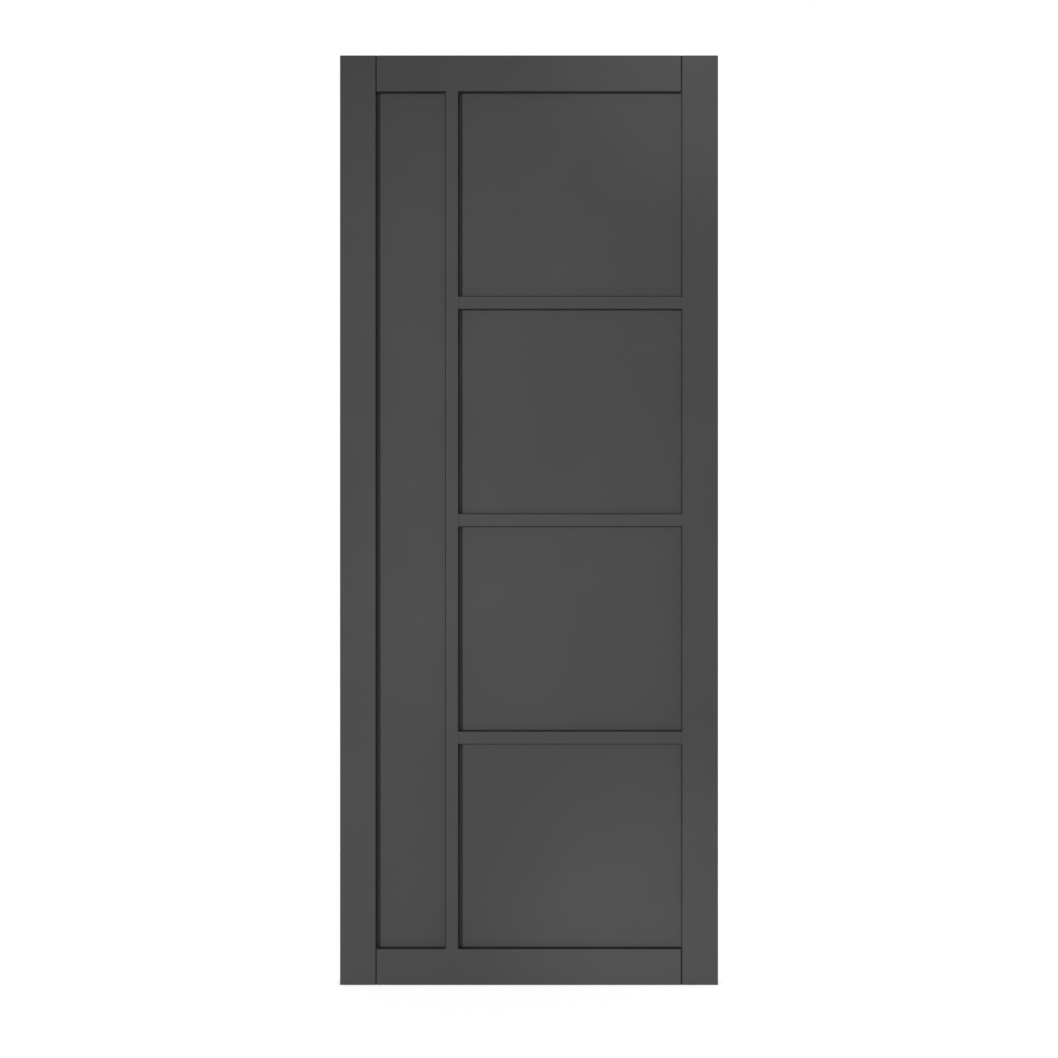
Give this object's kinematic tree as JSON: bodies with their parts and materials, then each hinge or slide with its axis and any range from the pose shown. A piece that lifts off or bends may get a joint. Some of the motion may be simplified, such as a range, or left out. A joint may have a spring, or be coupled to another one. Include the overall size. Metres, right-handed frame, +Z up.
{
  "type": "interior door",
  "caption": "Interior door leaf of stiles, rails and slim bars round flat recessed panels, one tall and narrow and the others wide and stacked, to hang in a door frame.",
  "frame": {"origin": "middle of the leaf's bottom edge", "axes": "+Z up the leaf, +X across it to the viewer's right, -Y out of the front face towards the viewer"},
  "size_m": [0.83, 0.04, 2.04],
  "materials": {
    "painted_fibreboard": "satin dark grey paint on smooth medium density fibreboard",
    "painted_timber": "satin dark grey paint on planed softwood",
    "core_timber": "planed softwood, unpainted inside, painted where it shows at the ends",
    "dowel_beech": "raw beech, hidden in the joints"
  },
  "bodies": {
    "root": {"left_stile_core": "core_timber", "left_stile_edge_lipping": "painted_timber", "left_stile_inner_lipping": "painted_timber", "left_stile_front_facing": "painted_fibreboard", "left_stile_back_facing": "painted_fibreboard", "right_stile_core": "core_timber", "right_stile_edge_lipping": "painted_timber", "right_stile_inner_lipping": "painted_timber", "right_stile_front_facing": "painted_fibreboard", "right_stile_back_facing": "painted_fibreboard", "top_rail_core": "painted_timber", "top_rail_lipping": "painted_timber", "top_rail_front_facing": "painted_fibreboard", "top_rail_back_facing": "painted_fibreboard", "bottom_rail_core": "painted_timber", "bottom_rail_lipping": "painted_timber", "bottom_rail_front_facing": "painted_fibreboard", "bottom_rail_back_facing": "painted_fibreboard", "upright_bar": "painted_timber", "cross_bar_lower": "painted_timber", "cross_bar_middle": "painted_timber", "cross_bar_upper": "painted_timber", "panel_tall": "painted_fibreboard", "panel_bottom": "painted_fibreboard", "panel_lower": "painted_fibreboard", "panel_upper": "painted_fibreboard", "panel_top": "painted_fibreboard", "dowels_bottom_left": "dowel_beech", "dowels_bottom_right": "dowel_beech", "dowels_top_left": "dowel_beech", "dowels_top_right": "dowel_beech", "dowels_upright_bottom": "dowel_beech", "dowels_upright_top": "dowel_beech", "dowels_cross_bar_lower_left": "dowel_beech", "dowels_cross_bar_lower_right": "dowel_beech", "dowels_cross_bar_middle_left": "dowel_beech", "dowels_cross_bar_middle_right": "dowel_beech", "dowels_cross_bar_upper_left": "dowel_beech", "dowels_cross_bar_upper_right": "dowel_beech"}
  },
  "joints": []
}
